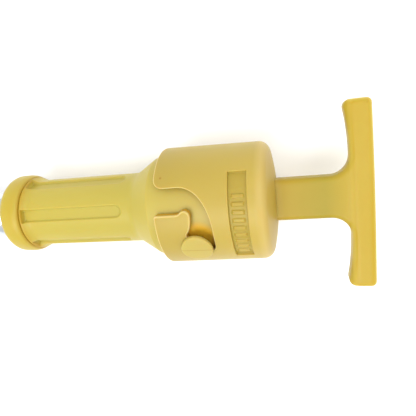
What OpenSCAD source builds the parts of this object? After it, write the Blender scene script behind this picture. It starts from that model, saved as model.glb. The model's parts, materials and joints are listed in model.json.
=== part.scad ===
// Engine oil dipstick with a T-handle bayonet cap, locked on its tube head.
// Lengths are in millimetres. Each piece is drawn along X, with x = 0 at the edge of the cap's skirt
// and the handle at +X, and is then laid down so that the skirt and the tube's end touch the ground.

/* [Guide tube] */
// Outer diameter of the steel tube
tube_d = 20; // [18:0.5:22]
// Wall of the steel tube
tube_wall = 1.5; // [1:0.1:2]
// Length of tube that stands out of the collar
tube_out = 190; // [120:1:400]
// Depth of tube held inside the tube head
tube_held = 64; // [56:1:66]

/* [Tube head] */
// Diameter of the fluted barrel
barrel_d = 28.2; // [27:0.2:30]
// Length from the skirt's edge to the shoulder of the collar
barrel_reach = 57.5; // [50:0.5:70]
// Largest diameter of the collar
collar_d = 33.4; // [31.4:0.2:36]
// Length of the collar
collar_len = 14.5; // [12:0.5:18]
// Gap between the flare and the inside of the cap's skirt
flare_gap = 0.4; // [0.3:0.05:0.9]
// Slope of the flare against the axis, in degrees
flare_slope = 32; // [26:1:40]
// Wall of the flare round the chamber
flare_wall = 2.8; // [2:0.1:3.5]
// Place of the tube mouth inside the cap
mouth_x = 22; // [21.5:0.1:23]
// Number of flutes round the barrel
flute_count = 6; // [4:1:7]
// Angle of the first flute round the axis, in degrees from the handle's face
flute_angle = 4; // [-10:1:10]
// Width of a flute
flute_w = 5.2; // [3:0.1:6]
// Depth of a flute
flute_depth = 1.1; // [0.4:0.1:1.6]

/* [Bayonet] */
// Angle of the locked lug round the axis, in degrees from the handle's face
lug_angle = -34; // [-40:1:-30]
// Diameter of the lug's round head
lug_head_d = 11.7; // [10:0.1:12.4]
// Height of the lug's head above the cap
lug_head_h = 1.3; // [1:0.1:2.4]
// Diameter of the lug's neck
lug_neck_d = 4.6; // [4:0.1:4.8]
// Place of the locked lug along the cap
lug_x = 14.3; // [14:0.1:14.6]
// Turn of the cap that brings the lug past the slot's nose, in degrees
bayonet_turn = 36; // [34:1:37]
// Push of the cap towards the tube over that turn
bayonet_push = 1.9; // [1.7:0.1:2]

/* [Cap] */
// Outer diameter of the cap
cap_d = 45; // [44.6:0.1:46]
// How much wider the cap is at its skirt's edge than at its corner, on the radius
cap_draft = 0.5; // [0:0.1:0.8]
// Wall of the cap's skirt
skirt_wall = 2.6; // [2.2:0.1:2.7]
// Length of the cap on its axis
cap_len = 42.5; // [41:0.5:48]
// Thickness of the cap's end wall
end_wall = 3.3; // [2.5:0.1:4]
// Radius of the domed end face
dome_r = 95; // [70:1:140]
// Radius of the corner round the end face
corner_r = 4; // [2:0.5:6]
// Depth of the curved window in the cap's side
window_depth = 1; // [0.4:0.1:1.4]
// Width of the window along the cap
window_w = 6.7; // [5:0.1:7.5]
// Place of the window's near edge along the cap
window_x = 27.3; // [26:0.1:28.5]

/* [Handle] */
// Length of the T-bar
bar_len = 68.4; // [60:0.2:80]
// Width of the T-bar at its middle, along the axis
bar_w = 8.3; // [7:0.1:11]
// Width of the stem
stem_w = 15.8; // [12:0.2:20]
// Free length between the cap and the T-bar
stem_len = 26.4; // [22:0.2:34]
// Thickness of the T-bar, face to face
handle_t = 10.6; // [8:0.2:13]
// Thickness of the stem, face to face
stem_t = 9.2; // [7:0.2:10.4]
// Radius of the curve between stem and T-bar
neck_r = 7; // [5:0.1:9]
// Radius of the handle's rounded edges
edge_r = 2; // [1:0.1:2.6]

/* [Stick] */
// Diameter of the rod
rod_d = 5; // [4:0.1:6]
// Outer diameter of the ferrule
ferrule_d = 8; // [7:0.1:9]
// Length of blade that stands out beyond the rod
blade_out = 62; // [40:1:100]
// Length of rod that stands out of the tube
rod_out = 26; // [20:1:60]
// Width of the blade
blade_w = 7; // [5:0.1:9]
// Thickness of the blade
blade_t = 1.2; // [0.8:0.1:1.6]
// Distance between the two level marks
mark_gap = 26; // [16:1:30]
// Distance from the blade's tip to the lower mark
mark_place = 14; // [8:1:20]

/* [Seal] */
// Thickness of the rubber ring on the tube mouth
seal_t = 2; // [1.5:0.1:2.5]
// Thickness of the spring plate
plate_t = 1.5; // [1:0.1:2]
// Wire diameter of the spring
spring_wire = 1.8; // [1.2:0.1:2.2]
// Number of turns of the spring
spring_turns = 4; // [3:0.5:4.5]

/* [Hidden] */
$fn = 96;

// Fits
seat_gap = 0.05;
run_gap = 0.1;
free_gap = 0.3;
over = 1;

// Cap
cap_r = cap_d / 2;
skirt_out_r = cap_r + cap_draft;
skirt_r = cap_r - skirt_wall;
skirt_edge_r = 0.6;
roof_x = cap_len - end_wall;
roof_corner_r = 2;
dome_x = cap_len - dome_r;
corner_x = dome_x + sqrt(pow(dome_r - corner_r, 2) - pow(cap_r - corner_r, 2));
corner_end = asin((cap_r - corner_r) / (dome_r - corner_r));
boss_d = ferrule_d + 7;
boss_x = roof_x - 10;

// Window, with plain raised bars in it
window_top = 37;
window_bottom = -53.5;
bar_first = 14;
bar_last = -46;
bar_rows = 9;
mark_w = 4.2;
mark_l = 1.5;
mark_h = 0.5;

// Slot, as distances along the cap and round its outside
slot_dir = -12;
entry_low = -0.2;
entry_high = 9.5;
entry_corner_r = 4;
nose_r = 2.1;
nose_drop = 0.7;
// Share of the push that the neck has made when it passes the nose
nose_share = 0.8;
neck_room = lug_neck_d / 2 + run_gap;
nose_x = lug_x + bayonet_push * nose_share - neck_room - nose_r;
lobe_a = 3;
lobe_b = 7;
lobe_x = nose_x + nose_r - lobe_a;
lobe_y = -1;
pocket_gap = 0.8;
pocket_x = lug_x - lug_neck_d / 2 - pocket_gap;
pocket_end = 17.6;
sweep_a = 11.8;
sweep_x = lug_x - 5.3;
sweep_low = -7;
pocket_far = sweep_x + sweep_a;
pocket_flat = 0.4;
pocket_r = (pocket_far - pocket_x - pocket_flat) / 2;

// Tube head
barrel_r = barrel_d / 2;
flare_r = skirt_r - flare_gap;
chamber_r = flare_r - flare_wall;
shoulder_x = -barrel_reach;
collar_x = shoulder_x - collar_len;
collar_r = collar_d / 2;
tube_r = tube_d / 2;
tube_in_r = tube_r - tube_wall;
// The held length is turned down behind a shoulder, just short of the collar
held_r = tube_r - 0.5;
tube_neck_x = collar_x - 1.5;
tube_stop_x = collar_x + tube_held;
flare_end_x = -3.8;
flare_start_x = flare_end_x - (flare_r - barrel_r) / tan(flare_slope);
throat_x = tube_stop_x + 2.2;
mouth_round = 0.8;
blend_r = 5;
blend_in = blend_r * tan(flare_slope / 2);
crease_x = shoulder_x - 4.2;
crease_r = barrel_r + 1.4;
flute_end_x = flare_start_x - 4.3;
flute_start_x = crease_x + 0.9;
bead_front = 3;
back_x = collar_x + 4.6;
oring_wire = 2.8;
oring_x = collar_x + collar_len * 0.45;

// Guide tube and stick
tube_end_x = collar_x - tube_out;
ferrule_end_x = 6;
ferrule_top_x = roof_x - 1.2;
rod_seat_x = ferrule_end_x + 10;
rod_end_x = tube_end_x - rod_out;
lap = 16;
blade_top_x = rod_end_x + lap;
blade_tip_x = rod_end_x - blade_out;
rivet_d = 2.2;
rivet_head_d = 3.6;
rivet_head_h = 0.7;
mark_hole_d = 2.4;
notch_r = 0.9;
pin_d = 2.5;
pin_x = boss_x + 4.5;

// Handle
bar_in_x = cap_len + stem_len;
bar_out_x = bar_in_x + bar_w;
neck_y = stem_w / 2 + neck_r;
bar_swell_r = 86;
bar_out_swell_r = 1900;
bar_in_corner_r = 2.4;
bar_out_corner_r = 1.9;
stem_root_x = roof_x + 0.6;
stem_free_x = cap_len + 1;

// Seal and spring
seal_x = mouth_x + seat_gap;
plate_x = seal_x + seal_t;
spring_x = plate_x + plate_t + seat_gap;
spring_r = 11.6;
clip_t = 1;
clip_x = plate_x - 0.4 - clip_t;
clip_d = ferrule_d + 5.5;
clip_groove = 0.7;
seal_in_r = chamber_r - 2.4;
plate_r = skirt_r - 0.9;
hub_h = 2.6;
hub_wall = 1.6;

// Lie: the line that touches the skirt's rounded edge and the tube's end
lie_run = skirt_edge_r - tube_end_x;
lie_drop = skirt_out_r - skirt_edge_r - tube_r;
lie_tilt = atan2(lie_drop, lie_run) + asin(skirt_edge_r / norm([lie_run, lie_drop]));
lie_height = tube_r * cos(lie_tilt) - tube_end_x * sin(lie_tilt);
lie_left = blade_tip_x * cos(lie_tilt) - blade_t / 2 * sin(lie_tilt);
lie_right = bar_out_x * cos(lie_tilt) + (handle_t / 2 - edge_r) * sin(lie_tilt);
lie_centre = (lie_left + lie_right) / 2;

yellow_cap = [0.83, 0.74, 0.38];
yellow_head = [0.86, 0.80, 0.44];
steel = [0.75, 0.77, 0.80];
dark_steel = [0.55, 0.56, 0.58];
rubber = [0.08, 0.08, 0.08];

// Points on an arc of an ellipse, from angle a0 to a1
function arc(c, rx, ry, a0, a1, n = 12) =
    [for (i = [0:n]) let (a = a0 + (a1 - a0) * i / n) [c[0] + rx * cos(a), c[1] + ry * sin(a)]];

// Puts every piece where it lies
module laid() {
    translate([-lie_centre, 0, lie_height]) rotate([0, -lie_tilt, 0]) children();
}

// A solid turned about X from points [along the axis, radius]
module turned(points) {
    rotate([0, 90, 0]) rotate_extrude() polygon([for (p = points) [p[1], p[0]]]);
}

// A round bar or bore along X
module rod_x(d, x0, x1) {
    translate([x0, 0, 0]) rotate([0, 90, 0]) cylinder(d = d, h = x1 - x0);
}

// Turns children, drawn looking down on the face of the handle, round the axis
module at_angle(a) {
    rotate([-a, 0, 0]) children();
}

// A point of the slot, given along the cap and round its outside, as the cutter's flat outline has it
function slot_point(p) = [p[0], cap_r * sin(p[1] / cap_r * 180 / PI - slot_dir)];

function slot_path() = let (
        lobe_turn = acos((pocket_x - lobe_x) / lobe_a))
    concat(
        [[-over, entry_low], [nose_x - nose_r - 0.6, entry_low]],
        arc([nose_x, entry_low - nose_drop], nose_r, nose_r, 150, 0, 8),
        arc([lobe_x, lobe_y], lobe_a, lobe_b, 0, -lobe_turn, 6),
        arc([pocket_x + pocket_r, pocket_r - pocket_end], pocket_r, pocket_r, 180, 270, 8),
        arc([pocket_far - pocket_r, pocket_r - pocket_end], pocket_r, pocket_r, 270, 360, 8),
        arc([sweep_x, sweep_low], sweep_a, entry_high - sweep_low, 0, 90, 16),
        arc([entry_corner_r - 0.2, entry_high + entry_corner_r], entry_corner_r, entry_corner_r, 270, 180, 8),
        [[-over, entry_high + entry_corner_r]]);

module slot_cutter() {
    at_angle(slot_dir) linear_extrude(skirt_out_r + over) polygon([for (p = slot_path()) slot_point(p)]);
}

// Curve of the bar's inner edge beyond the necks, and of its outer edge
function in_swell(y) = pow(y - neck_y, 2) / 2 / bar_swell_r;

function out_swell(y) = y * y / 2 / bar_out_swell_r;

// Half plans drawn in by the distance d: the stem with its neck, and the bar
function half_stem(d) = concat(
    [[stem_free_x, stem_w / 2 - d]],
    arc([bar_in_x - neck_r + seat_gap, neck_y], neck_r + d, neck_r + d, 270, 360, 10),
    [[bar_in_x + bar_w / 2, neck_y]]);

function half_bar(d) = let (
        end_y = bar_len / 2 - d,
        in_x = bar_in_x + d,
        out_x = bar_out_x - d,
        in_r = max(bar_in_corner_r - d, 0.3),
        out_r = max(bar_out_corner_r - d, 0.3),
        in_y = end_y - in_r,
        out_y = end_y - out_r)
    concat(
        [for (i = [0:5]) let (y = neck_y + (in_y - neck_y) * i / 6) [in_x - in_swell(y), y]],
        arc([in_x - in_swell(in_y) + in_r, in_y], in_r, in_r, 180, 90, 6),
        arc([out_x - out_swell(out_y) - out_r, out_y], out_r, out_r, 90, 0, 6),
        [for (i = [3:-1:1]) [out_x - out_swell(out_y * i / 4), out_y * i / 4]]);

function both_halves(h) = let (n = len(h)) concat(h, [for (i = [n - 1:-1:0]) [h[i][0], -h[i][1]]]);

// Steps of an edge rounded over both faces of a plate, each as [distance drawn in, height]
function edge_levels(t, steps = 4) = concat(
    [for (i = [0:steps]) let (a = 90 - 90 * i / steps)
        [edge_r * (1 - cos(a)), -t / 2 + edge_r * (1 - sin(a))]],
    [for (i = [0:steps]) let (a = 90 * i / steps)
        [edge_r * (1 - cos(a)), t / 2 - edge_r * (1 - sin(a))]]);

// The stem's root, which runs through the domed end wall
module stem_root() {
    side = [for (l = edge_levels(stem_t)) [stem_w / 2 - l[0], l[1]]];
    n = len(side);
    translate([stem_root_x, 0, 0]) rotate([90, 0, 90]) linear_extrude(stem_free_x - stem_root_x)
        polygon(concat(side, [for (i = [n - 1:-1:0]) [-side[i][0], side[i][1]]]));
}

// A plate with rounded edges, from its levels and a plan for each of them
module rounded_plate(levels, plans) {
    n = len(plans[0]);
    rows = len(levels);
    points = [for (r = [0:rows - 1]) for (p = plans[r]) [p[0], p[1], levels[r][1]]];
    sides = [for (r = [0:rows - 2]) for (i = [0:n - 1]) let (j = (i + 1) % n)
        each [[r * n + i, r * n + j, (r + 1) * n + j], [r * n + i, (r + 1) * n + j, (r + 1) * n + i]]];
    bottom = [[for (i = [n - 1:-1:0]) i]];
    top = [[for (i = [0:n - 1]) (rows - 1) * n + i]];
    polyhedron(points, concat(sides, bottom, top));
}

// The free part of the handle: a thinner stem that runs into the bar
module handle_free() {
    rounded_plate(edge_levels(stem_t), [for (l = edge_levels(stem_t)) both_halves(half_stem(l[0]))]);
    rounded_plate(edge_levels(handle_t), [for (l = edge_levels(handle_t)) both_halves(half_bar(l[0]))]);
}

module cap_shell() {
    turned(concat(
        [[0, skirt_r + 0.3], [0.3, skirt_r], [roof_x - roof_corner_r, skirt_r]],
        arc([roof_x - roof_corner_r, skirt_r - roof_corner_r], roof_corner_r, roof_corner_r, 90, 0, 6),
        [[roof_x, 0]],
        arc([dome_x, 0], dome_r, dome_r, 0, corner_end, 10),
        arc([corner_x, cap_r - corner_r], corner_r, corner_r, corner_end, 90, 12),
        arc([skirt_edge_r, skirt_out_r - skirt_edge_r], skirt_edge_r, skirt_edge_r, 90, 180, 6)));
}

module window_cutter() {
    floor_r = cap_r - window_depth;
    reach = cap_r * 2;
    intersection() {
        difference() {
            rod_x(cap_d + 2 * over, window_x, window_x + window_w);
            rod_x(2 * floor_r, window_x - over, window_x + window_w + over);
        }
        translate([window_x - over, 0, 0]) rotate([90, 0, 90]) linear_extrude(window_w + 2 * over)
            polygon([[0, 0],
                     [reach * sin(window_bottom), reach * cos(window_bottom)],
                     [reach * sin(window_bottom / 2), reach * cos(window_bottom / 2)],
                     [reach * sin(window_top), reach * cos(window_top)]]);
    }
}

module window_bars() {
    floor_r = cap_r - window_depth;
    for (i = [0:bar_rows - 1])
        at_angle(bar_first + (bar_last - bar_first) * i / (bar_rows - 1))
            translate([window_x + (window_w - mark_w) / 2, -mark_l / 2, floor_r - mark_h])
                cube([mark_w, mark_l, 2 * mark_h]);
}

module handle_cap() {
    color(yellow_cap) laid() {
        difference() {
            union() {
                cap_shell();
                rod_x(boss_d, boss_x, roof_x + 1);
                stem_root();
                handle_free();
            }
            slot_cutter();
            at_angle(180) slot_cutter();
            window_cutter();
            rod_x(ferrule_d, boss_x - over, ferrule_top_x);
            translate([pin_x, 0, 0]) cylinder(d = pin_d, h = cap_r, center = true);
        }
        window_bars();
    }
}

module seal_spring() {
    sides = 8;
    per_turn = 18;
    steps = round(spring_turns * per_turn);
    free_len = roof_x - seat_gap - spring_x - spring_wire;
    closed = 0.9;
    // The end turns lie flat against their seats and the rise is shared by the turns between
    function rise(t) = min(max((t * spring_turns - closed) / (spring_turns - 2 * closed), 0), 1);
    points = [for (k = [0:steps]) let (t = k / steps, a = 360 * spring_turns * t,
                                       x = spring_x + spring_wire / 2 + free_len * rise(t))
        for (i = [0:sides - 1]) let (b = 360 * i / sides, r = spring_r + spring_wire / 2 * sin(b))
            [x + spring_wire / 2 * cos(b), r * cos(a), r * sin(a)]];
    skin = [for (k = [0:steps - 1]) for (i = [0:sides - 1]) let (j = (i + 1) % sides)
        each [[k * sides + i, k * sides + j, (k + 1) * sides + j],
              [k * sides + i, (k + 1) * sides + j, (k + 1) * sides + i]]];
    ends = [[for (i = [sides - 1:-1:0]) i], [for (i = [0:sides - 1]) steps * sides + i]];
    color(steel) laid() polyhedron(points, concat(skin, ends));
}

// Dished plate with a short hub that slides on the ferrule
module seal_plate() {
    hub_r = ferrule_d / 2 + run_gap + hub_wall;
    color(steel) laid() turned([
        [plate_x, ferrule_d / 2 + run_gap], [plate_x, plate_r], [plate_x + plate_t, plate_r],
        [plate_x + plate_t, hub_r], [plate_x + hub_h, hub_r], [plate_x + hub_h, ferrule_d / 2 + run_gap]]);
}

module mouth_seal() {
    color(rubber) laid() turned([
        [seal_x, seal_in_r], [seal_x, plate_r - 0.4], [seal_x + seal_t, plate_r - 0.4],
        [seal_x + seal_t, seal_in_r]]);
}

// Open retaining ring in the ferrule's groove
module plate_clip() {
    groove_r = ferrule_d / 2 - clip_groove;
    mouth = groove_r * 1.5;
    color(dark_steel) laid() difference() {
        rod_x(clip_d, clip_x, clip_x + clip_t);
        rod_x(2 * groove_r, clip_x - over, clip_x + clip_t + over);
        translate([clip_x - over, -mouth / 2, 0]) cube([clip_t + 2 * over, mouth, clip_d]);
    }
}

module stick_ferrule() {
    groove_r = ferrule_d / 2 - clip_groove;
    ferrule_r = ferrule_d / 2;
    color(steel) laid() difference() {
        turned([
            [ferrule_end_x, 0], [ferrule_end_x, rod_d / 2 + 0.8], [ferrule_end_x + 2, ferrule_r],
            [clip_x - seat_gap, ferrule_r], [clip_x - seat_gap, groove_r],
            [clip_x + clip_t + seat_gap, groove_r], [clip_x + clip_t + seat_gap, ferrule_r],
            [ferrule_top_x, ferrule_r], [ferrule_top_x, 0]]);
        rod_x(rod_d, ferrule_end_x - over, rod_seat_x);
        translate([pin_x, 0, 0]) cylinder(d = pin_d, h = cap_r, center = true);
    }
}

module ferrule_pin() {
    color(dark_steel) laid() translate([pin_x, 0, 0]) cylinder(d = pin_d, h = boss_d - 0.6, center = true);
}

// Round rod whose lower end is milled flat to carry the blade
module stick_rod() {
    color(steel) laid() difference() {
        rod_x(rod_d, rod_end_x, rod_seat_x);
        translate([rod_end_x - over, -rod_d, -blade_t / 2])
            cube([lap + over, 2 * rod_d, rod_d]);
        for (x = rivet_places()) translate([x, 0, -rod_d]) cylinder(d = rivet_d, h = 2 * rod_d);
    }
}

function rivet_places() = [rod_end_x + lap * 0.25, rod_end_x + lap * 0.72];

module blade() {
    tip_r = blade_w / 2;
    color(dark_steel) laid() translate([0, 0, -blade_t / 2]) linear_extrude(blade_t) difference() {
        union() {
            translate([blade_tip_x + tip_r, -blade_w / 2])
                square([blade_top_x - blade_tip_x - tip_r, blade_w]);
            translate([blade_tip_x + tip_r, 0]) circle(r = tip_r);
        }
        for (x = rivet_places()) translate([x, 0]) circle(d = rivet_d);
        for (x = [0, mark_gap]) translate([blade_tip_x + mark_place + x, 0]) circle(d = mark_hole_d);
        for (x = [0, mark_gap], side = [-1, 1])
            translate([blade_tip_x + mark_place + x, side * blade_w / 2]) circle(r = notch_r);
    }
}

module blade_rivets() {
    low_z = -rod_d / 2 + 0.2;
    color(steel) laid() for (x = rivet_places()) translate([x, 0, 0]) {
        translate([0, 0, low_z]) cylinder(d = rivet_d, h = blade_t / 2 - low_z);
        translate([0, 0, blade_t / 2]) cylinder(d = rivet_head_d, h = rivet_head_h);
    }
}

module lug() {
    head_low = skirt_out_r + free_gap;
    head_top = head_low + lug_head_h;
    at_angle(lug_angle) translate([lug_x, 0, 0]) {
        translate([0, 0, chamber_r + 0.6]) cylinder(d = lug_neck_d, h = head_low + 0.4 - chamber_r);
        intersection() {
            cylinder(d = lug_head_d, h = head_top + over);
            difference() {
                rod_x(2 * head_top, -lug_head_d, lug_head_d);
                rod_x(2 * head_low, -lug_head_d - over, lug_head_d + over);
            }
        }
    }
}

// A flute: a flat recess with one rounded end
module flute_cutter() {
    translate([0, 0, barrel_r - flute_depth]) linear_extrude(flute_depth + crease_r - barrel_r + over) {
        translate([flute_start_x, -flute_w / 2])
            square([flute_end_x - flute_w / 2 - flute_start_x, flute_w]);
        translate([flute_end_x - flute_w / 2, 0]) circle(d = flute_w);
    }
}

module tube_head_body() {
    back_r = tube_r + 0.7;
    back_len = back_x - collar_x;
    groove_r = held_r + oring_wire + 0.1;
    groove_half = oring_wire / 2 + 0.2;
    turned(concat(
        // bore, from the collar to the mouth
        [[collar_x, held_r], [oring_x - groove_half, held_r], [oring_x - groove_half, groove_r],
         [oring_x + groove_half, groove_r], [oring_x + groove_half, held_r],
         [tube_stop_x, held_r], [tube_stop_x, tube_in_r], [throat_x, tube_in_r],
         [throat_x + (chamber_r - tube_in_r) / tan(flare_slope + 6), chamber_r]],
        arc([mouth_x - mouth_round, chamber_r + mouth_round], mouth_round, mouth_round, 270, 360, 4),
        arc([mouth_x - mouth_round, flare_r - mouth_round], mouth_round, mouth_round, 0, 90, 4),
        // flare and its blend into the barrel
        [[flare_end_x + 0.6, flare_r], [flare_end_x - 0.4, flare_r - 0.35]],
        arc([flare_start_x - blend_in, barrel_r + blend_r], blend_r, blend_r, 270 + flare_slope, 270, 6),
        // cone up to the crease, then the collar's bead and its rounded back
        [[shoulder_x + 0.4, barrel_r], [shoulder_x - 0.8, barrel_r + 0.25], [crease_x + 0.5, crease_r],
         [crease_x + 0.1, crease_r - 0.3]],
        arc([crease_x - bead_front, crease_r - 0.3], bead_front, collar_r - crease_r + 0.3, 0, 90, 7),
        arc([back_x, back_r + 0.4], back_len, collar_r - back_r - 0.4, 90, 180, 12)));
}

module tube_head() {
    color(yellow_head) laid() {
        difference() {
            tube_head_body();
            for (i = [0:flute_count - 1]) at_angle(flute_angle + 360 / flute_count * i) flute_cutter();
        }
        lug();
        at_angle(180) lug();
    }
}

module guide_tube() {
    color(steel) laid() difference() {
        turned([
            [tube_end_x, 0], [tube_end_x, tube_r], [tube_neck_x - tube_r + held_r, tube_r],
            [tube_neck_x, held_r], [tube_stop_x, held_r], [tube_stop_x, 0]]);
        rod_x(2 * tube_in_r, tube_end_x - over, tube_stop_x + over);
    }
}

module tube_oring() {
    color(rubber) laid() translate([oring_x, 0, 0]) rotate([0, 90, 0]) rotate_extrude()
        translate([held_r + seat_gap + oring_wire / 2, 0]) circle(d = oring_wire);
}

handle_cap();
seal_spring();
seal_plate();
mouth_seal();
plate_clip();
stick_ferrule();
ferrule_pin();
stick_rod();
blade();
blade_rivets();
tube_head();
guide_tube();
tube_oring();
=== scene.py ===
"""Looks of an engine oil dipstick: T-handle bayonet cap, fluted tube head and bright guide tube."""
import json

import bmesh
import bpy
import numpy as np
from mathutils import Matrix
from mathutils.geometry import delaunay_2d_cdt


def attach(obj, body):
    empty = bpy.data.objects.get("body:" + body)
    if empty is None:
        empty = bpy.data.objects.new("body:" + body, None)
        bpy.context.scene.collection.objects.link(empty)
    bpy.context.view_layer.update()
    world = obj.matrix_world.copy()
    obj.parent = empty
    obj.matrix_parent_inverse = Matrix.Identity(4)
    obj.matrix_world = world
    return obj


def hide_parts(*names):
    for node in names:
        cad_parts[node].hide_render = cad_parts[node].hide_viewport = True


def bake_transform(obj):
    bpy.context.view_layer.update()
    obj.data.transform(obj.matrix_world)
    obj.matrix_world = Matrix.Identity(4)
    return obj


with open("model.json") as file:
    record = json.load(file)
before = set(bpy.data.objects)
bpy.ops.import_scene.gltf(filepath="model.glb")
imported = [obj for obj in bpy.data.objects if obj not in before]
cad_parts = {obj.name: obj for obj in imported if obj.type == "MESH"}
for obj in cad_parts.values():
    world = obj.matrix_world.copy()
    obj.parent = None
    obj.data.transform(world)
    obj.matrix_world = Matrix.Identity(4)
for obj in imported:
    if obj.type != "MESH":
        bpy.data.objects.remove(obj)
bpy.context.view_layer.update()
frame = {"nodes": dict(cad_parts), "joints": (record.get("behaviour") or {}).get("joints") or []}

# Lengths are in millimetres along the stick's own axis, with x = 0 at the edge of the cap's skirt
MM = 0.001
FULL = 2 * np.pi

# Points closer than this are welded, and faces thinner than this are dissolved, in metres
WELD = 2e-6
SLIVER = 1e-7

# Cap
CAP_R = 22.5
CAP_DRAFT = 0.5
SKIRT_R = 19.9
CAP_LEN = 42.5
END_WALL = 3.3
ROOF_X = CAP_LEN - END_WALL
DOME_R = 95.0
CORNER_R = 4.0
CORNER_X = CAP_LEN - DOME_R + np.sqrt((DOME_R - CORNER_R) ** 2 - (CAP_R - CORNER_R) ** 2)
CAP_EDGE = 0.75
BOSS_R = 7.5
BOSS_X = ROOF_X - 10
FERRULE_R = 4.0
FERRULE_TOP_X = ROOF_X - 1.2
WINDOW_X = 27.3
WINDOW_W = 6.7
WINDOW_DEPTH = 1.0
WINDOW_TOP = 37.0
WINDOW_BOTTOM = -53.5
WINDOW_BARS = 9
BAR_FIRST = 14.0
BAR_LAST = -46.0
BAR_HALF_L = 2.1
BAR_HALF_W = 0.75
BAR_H = 0.5
BAND_X = 26.0

# Slot, as distances along the cap and round its outside
SLOT_DIR = -12.0
ENTRY_LOW = -0.2
ENTRY_HIGH = 9.5
ENTRY_CORNER = (3.8, 4.0)
NOSE = (11.32, -0.9)
NOSE_R = 2.1
LOBE = (10.42, -1.0)
LOBE_A = 3.0
LOBE_B = 7.0
POCKET_X = 11.2
POCKET_END = 17.6
POCKET_FAR = 20.8
POCKET_R = 4.6
SWEEP = (9.0, -7.0)
SWEEP_A = 11.8

# Handle
BAR_LEN = 68.4
BAR_W = 8.3
STEM_W = 15.8
STEM_LEN = 26.4
HANDLE_T = 10.6
STEM_T = 9.2
NECK_R = 7.0
BAR_IN_X = CAP_LEN + STEM_LEN
BAR_OUT_X = BAR_IN_X + BAR_W
BAR_IN_SWELL_R = 86.0
BAR_OUT_SWELL_R = 1900.0
BAR_IN_CORNER_R = 2.4
BAR_OUT_CORNER_R = 1.9
HANDLE_EDGE_R = 2.0

# Tube head
BARREL_R = 14.1
FLARE_R = 19.5
FLARE_SLOPE = 32.0
FLARE_END_X = -3.8
FLARE_START_X = FLARE_END_X - (FLARE_R - BARREL_R) / np.tan(np.radians(FLARE_SLOPE))
FLARE_BLEND_R = 5.0
CHAMBER_R = 16.7
MOUTH_X = 22.0
SHOULDER_X = -57.5
COLLAR_X = -72.0
COLLAR_R = 16.7
COLLAR_BACK_X = -67.4
CREASE_X = -61.7
CREASE_R = 15.5
BEAD_FRONT = 3.0
HELD_R = 9.5
ORING_X = -65.475
ORING_HALF = 1.6
ORING_GROOVE_R = 12.4
TUBE_R = 10.0
TUBE_IN_R = 8.5
TUBE_NECK_X = -73.5
TUBE_STOP_X = -8.0
TUBE_END_X = -262.0
FLUTES = 6
FLUTE_TURN = 4.0
FLUTE_W = 5.2
FLUTE_DEPTH = 1.1
FLUTE_START_X = CREASE_X + 0.9
FLUTE_END_X = FLARE_START_X - 4.3
LUG_ANGLE = -34.0
LUG_X = 14.3
LUG_HEAD_R = 5.85
LUG_NECK_R = 2.3
LUG_LOW_R = CAP_R + CAP_DRAFT + 0.3
LUG_TOP_R = LUG_LOW_R + 1.3

# Seal spring
SPRING_X = 25.6
SPRING_END = 39.15
SPRING_R = 11.6
SPRING_WIRE = 1.8
SPRING_TURNS = 4.0
SPRING_CLOSED = 0.9

# The stick's axis as it lies: a point at the skirt's edge, the direction of the axis, and across it
TURN = next(j for j in frame["joints"] if j["name"] == "bayonet_turn")
PIVOT = np.array(TURN["pos_m"])
AXIS = np.array(TURN["axis"]) / np.linalg.norm(TURN["axis"])
SIDE = np.array([0.0, 1.0, 0.0])
FACE = np.cross(AXIS, SIDE)


def placed(points):
    """Stick coordinates in millimetres to metres where the stick lies: pivot plus x along the axis,
    y to the side and z out of the handle's face."""
    p = np.asarray(points, float) * MM
    return PIVOT + p[..., :1] * AXIS + p[..., 1:2] * SIDE + p[..., 2:3] * FACE


def ease(t):
    """Smooth step: 3 t squared less 2 t cubed, with t held between 0 and 1."""
    t = np.clip(t, 0.0, 1.0)
    return t * t * (3 - 2 * t)


def arc(centre, rx, ry, start, end, count):
    """Points on an ellipse: centre plus (rx cos a, ry sin a), with a from start to end in degrees."""
    a = np.radians(np.linspace(start, end, count))
    return np.stack([centre[0] + rx * np.cos(a), centre[1] + ry * np.sin(a)], -1)


def round_axis(x, angle, radius):
    """Point at a distance along the axis, an angle from the handle's face in radians and a radius:
    (x, r sin a, r cos a)."""
    x, angle, radius = np.broadcast_arrays(x, angle, radius)
    return np.stack([x, radius * np.sin(angle), radius * np.cos(angle)], -1)


def resampled(path, step):
    """The same path with points at equal distances of about one step along it."""
    length = np.concatenate([[0], np.cumsum(np.linalg.norm(np.diff(path, axis=0), axis=1))])
    count = max(int(round(length[-1] / step)), 1)
    s = np.linspace(0, length[-1], count + 1)
    return np.stack([np.interp(s, length, path[:, k]) for k in range(2)], -1)


def softened(path, step, spread):
    """The path in equal steps with its corners rounded: every point becomes the mean of its neighbours
    weighted by exp(-(d / spread) squared / 2), where d is how far along the path each of them is."""
    fine = resampled(path, step)
    reach = int(3 * spread / step)
    weight = np.exp(-0.5 * (np.arange(-reach, reach + 1) * step / spread) ** 2)
    padded = np.pad(fine, ((reach, reach), (0, 0)), "reflect", reflect_type="odd")
    return np.stack([np.convolve(padded[:, k], weight / weight.sum(), "valid") for k in range(2)], -1)


def path_normals(path, closed):
    """Unit normals of a path, its tangent turned a quarter turn to the right."""
    if closed:
        tangent = np.roll(path, -1, axis=0) - np.roll(path, 1, axis=0)
    else:
        tangent = np.gradient(path, axis=0)
    tangent /= np.linalg.norm(tangent, axis=1, keepdims=True)
    return np.stack([tangent[:, 1], -tangent[:, 0]], -1)


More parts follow.
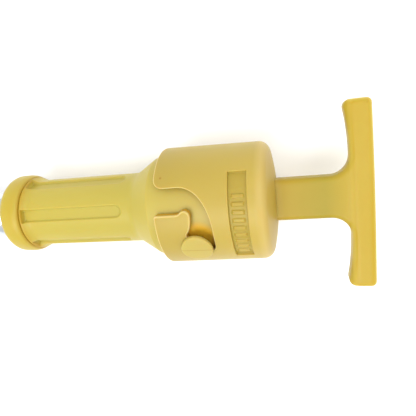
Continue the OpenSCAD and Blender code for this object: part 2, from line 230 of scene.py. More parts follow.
def inside(points, loop):
    """Whether each point is inside a closed loop: a ray to the right crosses the loop an odd number of
    times."""
    a, b = loop, np.roll(loop, -1, axis=0)
    px, py = points[:, :1], points[:, 1:]
    spans = (a[:, 1] > py) != (b[:, 1] > py)
    rise = np.where(b[:, 1] == a[:, 1], 1.0, b[:, 1] - a[:, 1])
    cross_x = a[:, 0] + (py - a[:, 1]) * (b[:, 0] - a[:, 0]) / rise
    return ((px < cross_x) & spans).sum(axis=1) % 2 == 1


def filled(loop, step, margin):
    """Triangles over the area inside a loop: its own points and a grid of points one step apart that
    keep a margin from it, joined by a constrained Delaunay triangulation."""
    lo, hi = loop.min(axis=0), loop.max(axis=0)
    columns, rows = (np.arange(lo[k] + step / 2, hi[k], step) for k in range(2))
    grid = np.stack([part.ravel() for part in np.meshgrid(columns, rows)], -1)
    grid = grid[inside(grid, loop)]
    near = np.full(len(grid), np.inf)
    for chunk in np.array_split(loop, max(len(loop) // 200, 1)):
        away = np.linalg.norm(grid[:, None] - chunk[None], axis=2).min(axis=1)
        near = np.minimum(near, away)
    points = np.concatenate([loop, grid[near > margin]])
    n = len(loop)
    edges = [(i, (i + 1) % n) for i in range(n)]
    found = delaunay_2d_cdt(points.tolist(), edges, [], 0, 1e-7)
    verts = np.array([tuple(v) for v in found[0]])
    tris = np.array([f for f in found[2] if len(f) == 3])
    return verts, tris[inside(verts[tris].mean(axis=1), loop)]


def grid_faces(rows, columns, wrap=False, start=0):
    """Quads of a grid of points stored row by row. Its last column is joined to the first if it wraps."""
    r, c = np.meshgrid(np.arange(rows - 1), np.arange(columns if wrap else columns - 1), indexing="ij")
    nxt = (c + 1) % columns
    here, above = r * columns, (r + 1) * columns
    quads = np.stack([here + c, here + nxt, above + nxt, above + c], -1)
    return quads.reshape(-1, 4) + start


class Shell:
    """Gathers grids and triangle sheets in stick coordinates and welds them into one closed mesh."""

    def __init__(self):
        self.points, self.faces, self.count = [], [], 0

    def grid(self, points, wrap=False):
        rows, columns = points.shape[:2]
        self.faces += grid_faces(rows, columns, wrap, self.count).tolist()
        self._add(points.reshape(-1, 3))

    def sheet(self, points, tris):
        self.faces += (tris + self.count).tolist()
        self._add(points)

    def _add(self, points):
        self.points.append(points)
        self.count += len(points)

    def piece(self, name, material, body, slot, replaces, end_body=None, ends=None):
        mesh = bpy.data.meshes.new(name)
        mesh.from_pydata(placed(np.concatenate(self.points)).tolist(), [], self.faces)
        bm = bmesh.new()
        bm.from_mesh(mesh)
        bmesh.ops.remove_doubles(bm, verts=bm.verts, dist=WELD)
        bmesh.ops.dissolve_degenerate(bm, edges=bm.edges, dist=SLIVER)
        bmesh.ops.recalc_face_normals(bm, faces=bm.faces)
        for face in bm.faces:
            face.smooth = True
        bm.to_mesh(mesh)
        bm.free()
        obj = bpy.data.objects.new(name, mesh)
        bpy.context.scene.collection.objects.link(obj)
        mesh.materials.append(material)
        if end_body:
            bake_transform(obj)
        else:
            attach(obj, body)
        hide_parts(replaces)


def revolved(profile, angles):
    """A grid turned about the axis from a profile of (x, radius) points."""
    return round_axis(profile[:, :1], angles[None], profile[:, 1:])


# Cap

def slot_path():
    """Edge of one slot as (x, distance round the cap), in by the lobe and its nose, round the pocket
    under the lug, and out by the sweep and the upper lobe's rounded corner."""
    corner = 0.7
    nose_lead = 0.6
    lobe_turn = np.degrees(np.arccos((POCKET_X - LOBE[0]) / LOBE_A))
    return np.concatenate([
        arc((corner, ENTRY_LOW - corner), corner, corner, 180, 90, 6),
        [[NOSE[0] - NOSE_R - nose_lead, ENTRY_LOW]],
        arc(NOSE, NOSE_R, NOSE_R, 150, 0, 16),
        arc(LOBE, LOBE_A, LOBE_B, 0, -lobe_turn, 16),
        arc((POCKET_X + POCKET_R, POCKET_R - POCKET_END), POCKET_R, POCKET_R, 180, 270, 16),
        arc((POCKET_FAR - POCKET_R, POCKET_R - POCKET_END), POCKET_R, POCKET_R, 270, 360, 16),
        arc(SWEEP, SWEEP_A, ENTRY_HIGH - SWEEP[1], 0, 90, 32),
        arc((ENTRY_CORNER[0], ENTRY_HIGH + ENTRY_CORNER[1]), *ENTRY_CORNER, 270, 180, 16)])


def skirt_path():
    """The skirt's whole edge once round the cap, from a seam between the slots, in and out of both."""
    fine, spread, step = 0.05, 0.35, 0.33
    round_len = FULL * CAP_R
    one = slot_path()
    half = [0.0, round_len / 2]
    seam = -0.75 * round_len
    whole = np.concatenate([[[0.0, seam]], one - half, one, [[0.0, seam + round_len]]])
    return resampled(softened(whole, fine, spread), step)


def cap_radius(x):
    """Outer radius of the cap at x: the draft falls evenly from the skirt's edge to the corner."""
    return CAP_R + CAP_DRAFT * (1 - x / CORNER_X)


def slot_angle(around, radius):
    """Angle of a point of the skirt at a radius. Near the slots the wall runs along the slot's own
    direction, so r sin(angle) stays the same there, and elsewhere the wall is radial."""
    straight_to, fade, steepest = 41, 16, 0.98
    angle = around / CAP_R
    middle = np.radians(SLOT_DIR)
    turn = np.round((angle - middle) / np.pi) * np.pi + middle
    off = angle - turn
    slanted = np.arcsin(np.clip(CAP_R * np.sin(off) / radius, -steepest, steepest))
    weight = 1 - ease((np.degrees(np.abs(off)) - straight_to) / fade)
    return turn + off + weight * (slanted - off)


def skirt_point(flat, radius):
    """A point of the skirt from (x, distance round the cap) and its radius."""
    return round_axis(flat[..., 0], slot_angle(flat[..., 1], radius), radius)


def window_drop(x, degrees):
    """Depth of the window's recess, with steep walls and a row of plain raised bars on its floor."""
    wall, bar_wall, bar_foot = 0.22, 0.3, 0.1
    side = np.minimum(x - WINDOW_X, WINDOW_X + WINDOW_W - x)
    arc_in = np.radians(np.minimum(degrees - WINDOW_BOTTOM, WINDOW_TOP - degrees)) * CAP_R
    drop = (WINDOW_DEPTH + cap_radius(x) - CAP_R) * ease(side / wall) * ease(arc_in / wall)
    pitch = (BAR_LAST - BAR_FIRST) / (WINDOW_BARS - 1)
    place = np.clip(np.round((degrees - BAR_FIRST) / pitch), 0, WINDOW_BARS - 1)
    off = np.abs(np.radians(degrees - BAR_FIRST - place * pitch)) * CAP_R
    along = np.abs(x - WINDOW_X - WINDOW_W / 2)
    across_bar = ease((BAR_HALF_W + bar_foot - off) / bar_wall)
    along_bar = ease((BAR_HALF_L + bar_foot - along) / bar_wall)
    return drop - BAR_H * (across_bar * along_bar)


def around_samples():
    """Places round the cap from seam to seam: about 1 mm apart, and close together across the window."""
    round_len = FULL * CAP_R
    seam = -0.75 * round_len
    coarse, fine, wall, wall_count = 1.0, 0.19, 0.3, 9
    low, high = (np.radians(a) * CAP_R for a in (WINDOW_BOTTOM, WINDOW_TOP))
    rest = np.arange(seam, low - 0.5, coarse)
    walls = [np.linspace(e - wall, e + wall, wall_count) for e in (low, high)]
    floor = np.arange(low + 0.45, high - 0.4, fine)
    last = np.arange(high + 0.9, seam + round_len - 0.4, coarse)
    return np.concatenate([rest, walls[0], floor, walls[1], last, [seam + round_len]])


def make_cap_shell():
    """The cap without its handle: outer and inner skins round the slots, rounded edges carried along
    the skirt's whole edge, then the band with the window, the corner, the dome and the inside."""
    shell = Shell()
    edge = skirt_path()
    normal = path_normals(edge, False)
    normal[0] = normal[-1] = (1.0, 0.0)
    skin_step, skin_margin = 1.0, 0.55
    turn = np.linspace(0, np.pi / 2, 6)
    rows = [(CAP_EDGE * (1 - np.sin(t)), 1, -CAP_EDGE * (1 - np.cos(t))) for t in turn]
    rows += [(0.0, share, CAP_EDGE * (1 - 2 * share)) for share in (2 / 3, 1 / 3, 0)]
    rows += [(CAP_EDGE * (1 - np.cos(t)), 0, CAP_EDGE * (1 - np.sin(t))) for t in turn[1:]]
    wall = []
    for inset, share, lift in rows:
        flat = edge + normal * inset
        wall.append(skirt_point(flat, SKIRT_R + (cap_radius(flat[:, 0]) - SKIRT_R) * share + lift))
    shell.grid(np.stack(wall))
    around = around_samples()
    right = np.stack([np.full(len(around), BAND_X), around], -1)
    drawn_in = edge + normal * CAP_EDGE
    seam_x = np.linspace(drawn_in[0, 0], BAND_X, 25)[1:-1]
    low_seam = np.stack([seam_x, np.full(len(seam_x), around[0])], -1)
    high_seam = np.stack([seam_x, np.full(len(seam_x), around[-1])], -1)
    loop = np.concatenate([drawn_in, high_seam, right[::-1], low_seam[::-1]])
    flat, tris = filled(loop, skin_step, skin_margin)
    shell.sheet(skirt_point(flat, cap_radius(flat[:, 0])), tris)
    shell.sheet(skirt_point(flat, SKIRT_R), tris[:, ::-1])
    window_end = WINDOW_X + WINDOW_W
    wall = 0.25
    x = np.concatenate([
        [BAND_X], np.linspace(WINDOW_X - 0.7, WINDOW_X - 0.1, 3),
        np.linspace(WINDOW_X, WINDOW_X + wall, 7),
        np.linspace(WINDOW_X + 0.4, window_end - 0.4, 28),
        np.linspace(window_end - wall, window_end, 7),
        np.linspace(window_end + 0.3, cap_corner()[0, 0], 5)])
    degrees = np.degrees(around / CAP_R)
    radius = cap_radius(x[:, None]) - window_drop(x[:, None], degrees[None])
    shell.grid(round_axis(x[:, None], (around / CAP_R)[None], radius))
    shell.grid(revolved(cap_corner(), around / CAP_R))
    shell.grid(revolved(cap_inside(), around / CAP_R))
    return shell


def cap_corner():
    """Profile of the corner round the end face and the domed face, to the axis."""
    dome_x = CAP_LEN - DOME_R
    lean = np.degrees(np.arcsin((CAP_R - CORNER_R) / (DOME_R - CORNER_R)))
    corner = arc((CORNER_X, CAP_R - CORNER_R), CORNER_R, CORNER_R, 90, lean, 16)
    dome = arc((dome_x, 0.0), DOME_R, DOME_R, lean, 0, 18)[1:]
    return np.concatenate([corner, dome])


def cap_inside():
    """Profile of the inside from the skirt to the roof, down the boss and into its blind hole."""
    roof_r, root_r, tip = 2, 0.6, 0.4
    middle_x = 31.0
    return np.concatenate([
        [[BAND_X, SKIRT_R], [middle_x, SKIRT_R]],
        arc((ROOF_X - roof_r, SKIRT_R - roof_r), roof_r, roof_r, 90, 0, 8),
        [[ROOF_X, BOSS_R + root_r]],
        arc((ROOF_X - root_r, BOSS_R + root_r), root_r, root_r, 0, -90, 4),
        [[BOSS_X + tip, BOSS_R], [BOSS_X, BOSS_R - tip], [BOSS_X, FERRULE_R],
         [FERRULE_TOP_X, FERRULE_R], [FERRULE_TOP_X, 0.0]]])


# Handle

def handle_outline():
    """Plan of the T-handle as a closed path: stem, neck curve, then a bar whose edges swell with the
    square of the distance from the axis and end in rounded corners."""
    sunk = 0.6
    step = 0.6
    neck_y = STEM_W / 2 + NECK_R
    end_y = BAR_LEN / 2
    in_y = end_y - BAR_IN_CORNER_R
    out_y = end_y - BAR_OUT_CORNER_R
    y = np.linspace(neck_y, in_y, 14)
    swell = (y - neck_y) ** 2 / 2 / BAR_IN_SWELL_R
    out = np.linspace(out_y, 0, 14)
    out_swell = out ** 2 / 2 / BAR_OUT_SWELL_R
    in_corner = (BAR_IN_X - swell[-1] + BAR_IN_CORNER_R, in_y)
    out_corner = (BAR_OUT_X - out_swell[0] - BAR_OUT_CORNER_R, out_y)
    upper = np.concatenate([
        [[ROOF_X + sunk, STEM_W / 2]],
        arc((BAR_IN_X - NECK_R, neck_y), NECK_R, NECK_R, 270, 360, 14),
        np.stack([BAR_IN_X - swell, y], -1)[1:-1],
        arc(in_corner, BAR_IN_CORNER_R, BAR_IN_CORNER_R, 180, 90, 9),
        arc(out_corner, BAR_OUT_CORNER_R, BAR_OUT_CORNER_R, 90, 0, 9),
        np.stack([BAR_OUT_X - out_swell, out], -1)[1:-1]])
    lower = upper[::-1] * (1, -1)
    whole = np.concatenate([upper, lower, upper[:1]])
    return resampled(whole, step)[:-1]


def handle_half(x):
    """Half the handle's thickness at x: the stem's, eased into the bar's just inside its edge."""
    lead, length = 1.0, 3.2
    return STEM_T / 2 + (HANDLE_T - STEM_T) / 2 * ease((x - BAR_IN_X + lead) / length)


def make_handle(shell):
    """Adds the T-handle: its plan at both faces, joined by an edge rounded all the way along it."""
    face_step, face_margin = 0.7, 0.4
    outline = handle_outline()
    normal = path_normals(outline, True)
    turn = np.linspace(0, np.pi / 2, 8)
    top = [(HANDLE_EDGE_R * (1 - np.sin(t)), HANDLE_EDGE_R * (1 - np.cos(t)), 1) for t in turn]
    levels = []
    for inset, drop, side in top + [(inset, drop, -1) for inset, drop, _ in top[::-1]]:
        plan = outline + normal * inset
        levels.append(np.concatenate([plan, side * (handle_half(plan[:, :1]) - drop)], 1))
    shell.grid(np.stack(levels), wrap=True)
    flat, tris = filled(outline + normal * HANDLE_EDGE_R, face_step, face_margin)
    for side in (1, -1):
        shell.sheet(np.concatenate([flat, side * handle_half(flat[:, :1])], 1), tris)


# Tube head

def collar_profile():
    """Profile of the collar from its hole round the elliptic back and front edges, then the groove of the
    crease and the lip behind it."""
    back_r = TUBE_R + 0.7
    back_y = back_r + 0.4
    bead_r = CREASE_R - 0.3
    lip_r, lip_h = 0.35, 0.3
    notch = 0.25
    back_w = COLLAR_BACK_X - COLLAR_X
    return np.concatenate([
        [[COLLAR_X, HELD_R], [COLLAR_X, back_r]],
        arc((COLLAR_BACK_X, back_y), back_w, COLLAR_R - back_r - 0.4, 180, 90, 20),
        arc((CREASE_X - BEAD_FRONT, bead_r), BEAD_FRONT, COLLAR_R - bead_r, 90, 4, 14)[1:],
        [[CREASE_X + 0.02, bead_r - notch], [CREASE_X + 0.12, bead_r - 2 * notch],
         [CREASE_X + 0.24, bead_r - notch]],
        arc((CREASE_X + 0.65, CREASE_R - lip_h), lip_r, lip_h, 180, 60, 6)])


def barrel_profile():
    """Profile of the cone behind the crease, the barrel, and the flare with its blended foot."""
    blend = FLARE_BLEND_R
    blend_in = blend * np.tan(np.radians(FLARE_SLOPE) / 2)
    flare_edge = 0.9
    count = 90
    cone = np.linspace(0, 1, 12)[:, None]
    cone_start, cone_end = (CREASE_X + 1.0, CREASE_R - 0.05), (SHOULDER_X - 0.9, BARREL_R + 0.24)
    barrel_x = np.linspace(SHOULDER_X + 2.2, FLARE_START_X - blend_in - 0.3, count)
    return np.concatenate([
        cone_start * (1 - cone) + cone_end * cone,
        [[SHOULDER_X - 0.2, BARREL_R + 0.09], [SHOULDER_X + 0.6, BARREL_R + 0.01]],
        np.stack([barrel_x, np.full(count, BARREL_R)], -1),
        arc((FLARE_START_X - blend_in, BARREL_R + blend), blend, blend, 270, 270 + FLARE_SLOPE, 9),
        arc((FLARE_END_X + 0.2, FLARE_R - flare_edge), flare_edge, flare_edge, 90 + FLARE_SLOPE, 90, 6)])


def mouth_profile():
    """Profile of the wide end under the cap, round its rim and back to the chamber's wall."""
    rim = 0.8
    rim_x = MOUTH_X - rim
    return np.concatenate([
        [[0.0, FLARE_R], [8.0, FLARE_R], [15.0, FLARE_R]],
        arc((rim_x, FLARE_R - rim), rim, rim, 90, 0, 6),
        arc((rim_x, CHAMBER_R + rim), rim, rim, 0, -90, 6)])


def bore_profile():
    """Profile of the chamber's throat, the bore, the tube's stop and hole, and the O-ring's groove."""
    throat = TUBE_STOP_X + 2.2
    slope = np.radians(FLARE_SLOPE + 6)
    groove = (ORING_X + ORING_HALF, ORING_X - ORING_HALF)
    return np.array([
        [throat + (CHAMBER_R - TUBE_IN_R) / np.tan(slope), CHAMBER_R],
        [throat, TUBE_IN_R], [TUBE_STOP_X, TUBE_IN_R], [TUBE_STOP_X, HELD_R],
        [groove[0], HELD_R], [groove[0], ORING_GROOVE_R],
        [groove[1], ORING_GROOVE_R], [groove[1], HELD_R], [COLLAR_X, HELD_R]])


def head_profile():
    """Closed profile of the tube head: collar, crease, cone, barrel, flare, mouth, chamber and bore."""
    return np.concatenate([collar_profile(), barrel_profile(), mouth_profile(), bore_profile()])


def fluted(profile, angle):
    """Radius of the tube head: the profile's, less a flat-floored flute with one round end wherever
    the distance inside the flute's outline is positive."""
    wall, lead, thin = 0.55, 0.12, 0.2
    x, radius = profile[:, :1], profile[:, 1:]
    pitch = FULL / FLUTES
    angle = angle - np.radians(FLUTE_TURN)
    off = angle - np.round(angle / pitch) * pitch
    across = np.abs(np.sin(off)) * BARREL_R
    end = FLUTE_END_X - FLUTE_W / 2
    round_end = FLUTE_W / 2 - np.hypot(x - end, across)
    straight = np.minimum(FLUTE_W / 2 - across, x - FLUTE_START_X)
    depth_in = np.where(x > end, round_end, straight)
    floor = (BARREL_R - FLUTE_DEPTH) / np.cos(off)
    outside = radius > ORING_GROOVE_R + thin
    on_barrel = (x > FLUTE_START_X - thin) & (x < FLARE_START_X) & outside
    amount = np.where(on_barrel, ease((depth_in + lead) / wall), 0.0)
    return radius + amount * (np.minimum(floor, radius) - radius)


def make_tube_head():
    """The tube head turned from its profile with the flutes pressed in, and its two lugs."""
    shell = Shell()
    profile = head_profile()
    angle = np.linspace(-np.pi, np.pi, 385)
    shell.grid(round_axis(profile[:, :1], angle[None], fluted(profile, angle[None])))
    for turn in (LUG_ANGLE, LUG_ANGLE + 180):
        make_lug(shell, np.radians(turn))
    return shell


def make_lug(shell, turn):
    """Adds a mushroom lug: discs and rounded rims that follow the cap's curve. A point that is v off the
    lug's middle plane and R from the stick's axis stands at height sqrt(R squared - v squared)."""
    rim, under, root = 0.5, 0.2, 0.3
    sunk_r = FLARE_R - 1.0
    bend = np.linspace(0, np.pi / 2, 7)
    rows = [(d, LUG_TOP_R) for d in np.linspace(0, LUG_HEAD_R - rim, 14)]
    rows += [(LUG_HEAD_R - rim * (1 - np.sin(t)), LUG_TOP_R - rim * (1 - np.cos(t))) for t in bend[1:]]
    rows += [
        (LUG_HEAD_R - under * (1 - np.cos(t)), LUG_LOW_R + under * (1 - np.sin(t))) for t in bend[::2]]
    rows += [(LUG_NECK_R + root, LUG_LOW_R), (LUG_NECK_R, LUG_LOW_R - root)]
    rows += [(LUG_NECK_R, sunk_r), (0, sunk_r)]
    around = np.linspace(0, FULL, 97)
    distance = np.array([r[0] for r in rows])[:, None]
    radius = np.array([r[1] for r in rows])[:, None]
    u, v = distance * np.cos(around), distance * np.sin(around)
    height = np.sqrt(radius ** 2 - v ** 2)
    y = v * np.cos(turn) + height * np.sin(turn)
    z = height * np.cos(turn) - v * np.sin(turn)
    shell.grid(np.stack([LUG_X + u, y, z], -1))


def make_guide_tube():
    """The steel tube, turned from a thin closed profile: full size up to a shoulder just short of the
    collar, turned down from there to its stop in the head, with its cut end broken slightly."""
    soft, count = 0.25, 40
    shoulder = TUBE_NECK_X - (TUBE_R - HELD_R)
    profile = np.concatenate([
        arc((TUBE_END_X + soft, TUBE_R - soft), soft, soft, 180, 90, 5),
        np.stack([np.linspace(TUBE_END_X + 2, shoulder, count), np.full(count, TUBE_R)], -1),
        [[TUBE_NECK_X, HELD_R], [TUBE_STOP_X, HELD_R], [TUBE_STOP_X, TUBE_IN_R]],
        arc((TUBE_END_X + soft, TUBE_IN_R + soft), soft, soft, 270, 180, 5),
        [[TUBE_END_X, TUBE_R - soft]]])
    shell = Shell()
    shell.grid(revolved(profile, np.linspace(-np.pi, np.pi, 161)))
    return shell


def make_spring():
    """The seal spring: wire wound as a helix round the axis. Its end turns lie flat on their seats, and
    the rise between them grows evenly with the angle."""
    sides, steps = 16, 192
    half = SPRING_WIRE / 2
    t = np.linspace(0, 1, steps + 1)[:, None]
    rise = np.clip((t * SPRING_TURNS - SPRING_CLOSED) / (SPRING_TURNS - 2 * SPRING_CLOSED), 0, 1)
    middle = SPRING_X + half + (SPRING_END - SPRING_X - SPRING_WIRE) * rise
    turn = FULL * SPRING_TURNS * t
    wire = np.linspace(0, FULL, sides + 1)[None]
    radius = SPRING_R + half * np.sin(wire)
    shell = Shell()
    coil = np.stack([middle + half * np.cos(wire), radius * np.cos(turn), radius * np.sin(turn)], -1)
    shell.grid(coil)
    fan = np.array([[i, (i + 1) % sides, sides] for i in range(sides)])
    for end in (0, -1):
        ring = coil[end, :-1]
        shell.sheet(np.concatenate([ring, ring.mean(axis=0)[None]]), fan)
    return shell


# Materials

def linear(red, green, blue):
    """Linear light values of an sRGB colour given from 0 to 255."""
    c = np.array([red, green, blue]) / 255.0
    return tuple(np.where(c <= 0.04045, c / 12.92, ((c + 0.055) / 1.055) ** 2.4))


def shown(red, green, blue):
    """Base colour of plastic that shows about this sRGB colour under the studio's lights."""
    return tuple(0.645 * c for c in linear(red, green, blue))


class Surface:
    """A node material in the making. The values that it works with are node outputs or constants."""

    def __init__(self, name):
        self.material = bpy.data.materials.new(name)
        self.material.use_nodes = True
        self.nodes, self.links = self.material.node_tree.nodes, self.material.node_tree.links
        self.principled = self.nodes["Principled BSDF"]
        self.coords = self.nodes.new("ShaderNodeTexCoord").outputs["Object"]

    def feed(self, inputs, values):
        """Links each named or numbered input to its value, or sets it if the value is a constant."""
        for key, value in values.items():
            if isinstance(value, bpy.types.NodeSocket):
                self.links.new(value, inputs[key])
            else:
                inputs[key].default_value = value

    def finished(self, values):
        """The material, once its shader's inputs are fed."""
        self.feed(self.principled.inputs, values)
        return self.material

    def worked_out(self, kind, operation, values):
        """Node that works out an operation on up to three numbers or vectors."""
        node = self.nodes.new(kind)
        node.operation = operation
        self.feed(node.inputs, dict(enumerate(values)))
        return node

    def number(self, operation, *values):
        """Number worked out from numbers."""
        return self.worked_out("ShaderNodeMath", operation, values).outputs["Value"]

    def vector(self, operation, *values):
        """Vector worked out from vectors."""
        return self.worked_out("ShaderNodeVectorMath", operation, values).outputs["Vector"]

    def measure(self, operation, *values):
        """Number worked out from vectors: a length or a dot product."""
        return self.worked_out("ShaderNodeVectorMath", operation, values).outputs["Value"]

    def noise(self, scale, detail=3.0, stretch=(1, 1, 1)):
        """Noise on the object's own coordinates, scaled in cells a metre and stretched along the axes."""
        mapping = self.nodes.new("ShaderNodeMapping")
        self.feed(mapping.inputs, {"Vector": self.coords, "Scale": stretch})
        texture = self.nodes.new("ShaderNodeTexNoise")
        self.feed(texture.inputs, {"Vector": mapping.outputs["Vector"], "Scale": scale, "Detail": detail})
        return texture.outputs["Fac"]

    def mapped(self, value, low, high, to_low=0.0, to_high=1.0):
        """Value mapped evenly from one range to another and held inside it."""
        node = self.nodes.new("ShaderNodeMapRange")
        self.feed(node.inputs, {
            "Value": value, "From Min": low, "From Max": high, "To Min": to_low, "To Max": to_high})
        return node.outputs["Result"]

    def ramp(self, value, stops):
        """Colour from (place, colour) stops."""
        node = self.nodes.new("ShaderNodeValToRGB")
        elements = node.color_ramp.elements
        while len(elements) < len(stops):
            elements.new(0.5)
        for element, (place, colour) in zip(elements, stops):
            element.position = place
            element.color = (*colour, 1.0)
        self.feed(node.inputs, {"Fac": value})
        return node.outputs["Color"]

    def mixed(self, factor, first, second):
        """Colour mixed by a factor with a second, constant one."""
        node = self.nodes.new("ShaderNodeMix")
        node.data_type = "RGBA"
        factor_input, first_input, second_input, result = 0, 6, 7, 2
        self.feed(node.inputs, {factor_input: factor, first_input: first, second_input: (*second, 1.0)})
        return node.outputs[result]

    def bump(self, height, strength, distance, before=None):
        """Normal bent by a height, over an earlier bump if there is one."""
        node = self.nodes.new("ShaderNodeBump")
        self.feed(node.inputs, {"Height": height, "Strength": strength, "Distance": distance})
        if before:
            self.feed(node.inputs, {"Normal": before})
        return node.outputs["Normal"]


def stick_places(surface, spot):
    """Where the shaded point is, in metres: offset . axis along the stick, deep under the cap's drafted
    outer radius, near a spot given as (x, angle in degrees, radius), off the plane through that spot and
    the axis, and high above the handle's middle plane. The offset is counted from the pivot."""
    offset = surface.vector("SUBTRACT", surface.coords, PIVOT)
    along = surface.measure("DOT_PRODUCT", offset, AXIS)
    line = surface.nodes.new("ShaderNodeCombineXYZ")
    surface.feed(line.inputs, {"X": along, "Y": along, "Z": along})
    foot = surface.vector("MULTIPLY", line.outputs["Vector"], AXIS)
    away = surface.measure("LENGTH", surface.vector("SUBTRACT", offset, foot))
    skin = surface.number("MULTIPLY_ADD", along, -CAP_DRAFT / CORNER_X, (CAP_R + CAP_DRAFT) * MM)
    x, turn, radius = spot[0], np.radians(spot[1]), spot[2]
    beside = surface.vector("SUBTRACT", surface.coords, placed(round_axis(x, turn, radius)))
    across = surface.measure("DOT_PRODUCT", offset, SIDE * np.cos(turn) - FACE * np.sin(turn))
    return {
        "along": along,
        "deep": surface.number("SUBTRACT", skin, away),
        "near": surface.measure("LENGTH", beside),
        "off": surface.number("ABSOLUTE", across),
        "high": surface.measure("DOT_PRODUCT", offset, FACE)}


def yellow_plastic(name, tints, spot, patches):
    """Moulded yellow plastic with a satin skin, faint flow marks and fine grain. Its tint changes along
    the stick from one (x, colour) to the next, with pale clouds in it. Each patch is (colour, ramps) and
    shows where all its ramps do: (place of stick_places, where the ramp starts, where it is full)."""
    surface = Surface(name)
    places = stick_places(surface, spot)
    low, high = tints[0][0], tints[-1][0]
    tint = surface.ramp(surface.mapped(places["along"], low * MM, high * MM),
                        [((x - low) / (high - low), colour) for x, colour in tints])
    cloud = surface.noise(38.0, 4.0, (0.6, 1, 1))
    tint = surface.mixed(surface.mapped(cloud, 0.35, 0.75, 0.0, 0.2), tint, shown(222, 198, 100))
    # Each patch paints a colour over the tint: painted shade, painted highlights, or a moulding mark.
    for colour, ramps in patches:
        mask = 1.0
        for place, clear, full in ramps:
            mask = surface.number("MULTIPLY", mask, surface.mapped(places[place], clear * MM, full * MM))
        tint = surface.mixed(mask, tint, colour)
    grain = surface.noise(900.0, 2.0)
    flow = surface.bump(cloud, 0.08, 0.0005)
    return surface.finished({
        "Base Color": tint,
        "Roughness": surface.mapped(cloud, 0, 1, 0.38, 0.52),
        "Normal": surface.bump(grain, 0.08, 0.00005, flow),
        "Subsurface Weight": 0.35,
        "Subsurface Radius": (1.0, 0.45, 0.12),
        "Subsurface Scale": 0.0035,
        "Specular IOR Level": 0.3})


def cap_plastic():
    """Yellow of cap and handle, with light and shade painted in: a painted highlight on the slots' rims
    and painted shade on the walls below them, painted shade in the window, a painted highlight along the
    corner, painted shade on the stem and a painted highlight on the bar's sides; the mould's gate mark
    near the skirt is a real mark."""
    slots_end = 24.0
    window_end = WINDOW_X + WINDOW_W
    face = HANDLE_T / 2
    gate_mark = (2.96, 34.4, CAP_R + 0.4)
    # Tints along the stick: the lighter stop at 38.6 is a painted highlight along the cap's corner, and
    # the darker stops at 45 and 60 are painted shade on the handle's stem.
    tints = [
        (0.0, shown(192, 166, 70)), (12.0, shown(196, 170, 72)), (36.0, shown(203, 176, 78)),
        (38.6, shown(216, 188, 104)), (41.5, shown(206, 174, 76)), (45.0, shown(190, 160, 24)),
        (60.0, shown(173, 153, 16)), (70.0, shown(201, 169, 34))]
    patches = [
        # Painted shade, orange, on the slots' walls more than about a millimetre under the cap's skin.
        (shown(226, 172, 40), [("along", slots_end, slots_end - 2), ("deep", 0.8, 1.6)]),
        # Painted highlight along the slots' rounded rims.
        (shown(238, 214, 132), [
            ("along", slots_end, slots_end - 1), ("deep", 0.01, 0.12), ("deep", 0.85, 0.6)]),
        (shown(178, 138, 56), [("near", 0.6, 0.3)]),
        # Painted shade in the window's recess, on its floor and bars.
        (shown(192, 166, 64), [
            ("along", WINDOW_X - 0.3, WINDOW_X), ("along", window_end + 0.8, window_end + 0.2),
            ("deep", 0.1, 0.4)]),
        # Painted highlight: the bar is paler everywhere but its upper face, so its rounded edges and
        # sides show light.
        (shown(244, 222, 110), [
            ("along", BAR_IN_X - 0.5, BAR_IN_X + 1), ("high", face - 0.2, face - 1.6)])]
    return yellow_plastic("cap_plastic", tints, gate_mark, patches)


def head_plastic():
    """Yellow of the tube head, with painted shade in the crease behind the collar and painted orange
    shade on the flare beside the lug, and the mould's parting line across the lug."""
    lug = (LUG_X, LUG_ANGLE, FLARE_R)
    tints = [
        (-67.0, shown(207, 183, 62)), (-64.5, shown(206, 179, 56)), (-60.0, shown(206, 184, 70)),
        (-52.0, shown(204, 186, 76)), (-16.0, shown(202, 185, 80)), (-5.0, shown(204, 186, 84)),
        (20.0, shown(202, 180, 90))]
    patches = [
        # Painted shade in the crease between the collar's bead and the cone.
        (shown(200, 164, 42), [
            ("along", CREASE_X + 2.6, CREASE_X + 0.3), ("along", CREASE_X - 0.9, CREASE_X - 0.1),
            ("deep", 9.9, 9.3)]),
        # Painted shade, a saturated orange, on the flare round the lug where it lies in the slot under
        # the cap.
        (shown(232, 182, 44), [("near", 8.4, 6.2), ("along", 0.0, 8.0), ("deep", -0.6, 0.0)]),
        (shown(190, 162, 72), [("off", 0.24, 0.1), ("near", 8.0, 7.6), ("deep", -0.9, -1.3)])]
    return yellow_plastic("head_plastic", tints, lug, patches)


def plated_steel():
    """Bright plated steel: drawn lines along the tube, slight clouding of the plating."""
    surface = Surface("plated_steel")
    cloud = surface.noise(60.0)
    drawn = surface.noise(1400.0, 2.0, (0.02, 1, 1))
    return surface.finished({
        "Base Color": surface.ramp(cloud, [(0.3, linear(176, 183, 190)), (0.7, linear(202, 206, 210))]),
        "Roughness": surface.mapped(drawn, 0, 1, 0.14, 0.30),
        "Normal": surface.bump(drawn, 0.06, 0.00004),
        "Metallic": 1.0})


def plain_steel(name, dark, light, roughness):
    """Spring or blade steel: rolled lines, darker and duller than the plated tube."""
    surface = Surface(name)
    rolled = surface.noise(700.0, 3.0, (0.05, 1, 1))
    return surface.finished({
        "Base Color": surface.ramp(rolled, [(0.3, dark), (0.7, light)]),
        "Roughness": roughness,
        "Normal": surface.bump(rolled, 0.1, 0.00005),
        "Metallic": 1.0})


def black_rubber():
    """Matt black rubber with a fine grain."""
    surface = Surface("rubber")
    dark, light = (0.012, 0.012, 0.012), (0.03, 0.03, 0.03)
    grain = surface.noise(500.0, 4.0)
    return surface.finished({
        "Base Color": surface.ramp(grain, [(0.3, dark), (0.7, light)]),
        "Roughness": 0.7,
        "Normal": surface.bump(grain, 0.2, 0.0001)})


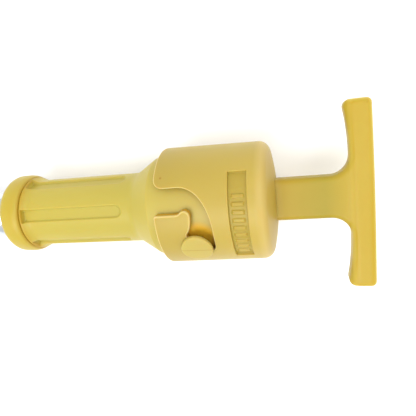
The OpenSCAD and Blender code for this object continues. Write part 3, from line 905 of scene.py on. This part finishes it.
def finish_nodes():
    """Gives every CAD node its material and returns the materials by the nodes' names."""
    plated = plated_steel()
    spring = plain_steel("spring_steel", linear(130, 132, 136), linear(170, 172, 176), 0.35)
    blade = plain_steel("blade_steel", linear(140, 142, 144), linear(176, 178, 180), 0.3)
    worn_by = [
        (cap_plastic(), ["handle_cap"]),
        (head_plastic(), ["tube_head"]),
        (plated, ["guide_tube", "stick_rod", "seal_plate", "stick_ferrule", "blade_rivets"]),
        (spring, ["seal_spring", "plate_clip", "ferrule_pin"]),
        (blade, ["blade"]),
        (black_rubber(), ["mouth_seal", "tube_oring"])]
    worn = {name: material for material, names in worn_by for name in names}
    for name, material in worn.items():
        data = frame["nodes"][name].data
        data.materials.clear()
        data.materials.append(material)
    return worn


# Studio

def make_camera():
    """Camera as fitted to the photograph: the stick seen from above its face at 168 mm, yawed so that
    the handle comes nearer, its axis rising to the right in the picture and the T rolled towards it."""
    focal_px, picture_px, sensor = 413.4, 416.0, 36.0
    yaw, slope, roll = np.radians([14.16, 3.11, 10.07])
    skirt_shift = 5.3
    offset = np.array([-9.27, -1.59, 167.82])

    def turned(axis, angle):
        return np.array(Matrix.Rotation(angle, 3, axis))

    flip = np.diag([1.0, -1.0, -1.0])
    seen = turned("Z", -slope) @ turned("Y", yaw) @ flip @ turned("X", roll)
    place = -seen.T @ offset + [skirt_shift, 0, 0]
    stick = np.stack([AXIS, SIDE, FACE], 1)
    right, down, forward = (stick @ seen[k] for k in range(3))
    data = bpy.data.cameras.new("camera")
    data.sensor_width = sensor
    data.lens = focal_px / picture_px * sensor
    data.clip_start = 0.005
    camera = bpy.data.objects.new("camera", data)
    bpy.context.scene.collection.objects.link(camera)
    camera.matrix_world = posed(right, -down, -forward, placed(place))
    bpy.context.scene.camera = camera


def posed(x_axis, y_axis, z_axis, place):
    """Matrix of an object from the directions of its axes and its place."""
    matrix = np.eye(4)
    matrix[:3] = np.stack([x_axis, y_axis, z_axis, place], 1)
    return Matrix(matrix.tolist())


def make_light(name, place, target, size, power):
    """A square area light at a place in metres, facing a target."""
    data = bpy.data.lights.new(name, "AREA")
    data.shape = "SQUARE"
    data.size = size
    data.energy = power
    light = bpy.data.objects.new(name, data)
    bpy.context.scene.collection.objects.link(light)
    forward = target - place
    forward /= np.linalg.norm(forward)
    side = np.cross(forward, [0, 0, 1.0])
    side /= np.linalg.norm(side)
    light.matrix_world = posed(side, np.cross(side, forward), -forward, place)


def make_floor():
    """Pale plain floor, square and wide."""
    surface = Surface("studio_floor")
    dim, bright = (0.9, 0.9, 0.9), (0.94, 0.94, 0.94)
    material = surface.finished({
        "Base Color": surface.ramp(surface.noise(3.0), [(0.0, dim), (1.0, bright)]),
        "Roughness": 0.9})
    reach = 4.0
    corners = [(-reach, -reach, 0), (reach, -reach, 0), (reach, reach, 0), (-reach, reach, 0)]
    mesh = bpy.data.meshes.new("studio_floor")
    mesh.from_pydata(corners, [], [(0, 1, 2, 3)])
    mesh.materials.append(material)
    floor = bpy.data.objects.new("studio_floor", mesh)
    bpy.context.scene.collection.objects.link(floor)


def make_studio():
    """Floor, white surroundings and two large soft lights, the stronger from the picture's lower side."""
    make_floor()
    world = bpy.data.worlds.new("studio")
    bpy.context.scene.world = world
    world.use_nodes = True
    background = world.node_tree.nodes["Background"]
    background.inputs["Color"].default_value = (1, 1, 1, 1)
    background.inputs["Strength"].default_value = 1.08
    target = placed([10, 0, 0])
    make_light("key", target + [-0.35, -0.6, 1.6], target, 0.9, 20.0)
    make_light("fill", target + [0.6, 0.5, 1.4], target, 1.1, 9.5)
    bpy.context.scene.view_settings.view_transform = "Standard"


make_camera()
make_studio()
finish = finish_nodes()

cap = make_cap_shell()
make_handle(cap)
cap.piece("handle_and_cap", finish["handle_cap"], "handle_group", "cap_plastic", "handle_cap")
make_tube_head().piece("fluted_tube_head", finish["tube_head"], "tube_side", "head_plastic", "tube_head")
make_guide_tube().piece("bright_tube", finish["guide_tube"], "tube_side", "plated_steel", "guide_tube")
make_spring().piece(
    "coiled_spring", finish["seal_spring"], "seal_group", "spring_steel", "seal_spring", "handle_group",
    ([SPRING_X + SPRING_WIRE, 0, 0], [SPRING_END - SPRING_WIRE, 0, 0]))
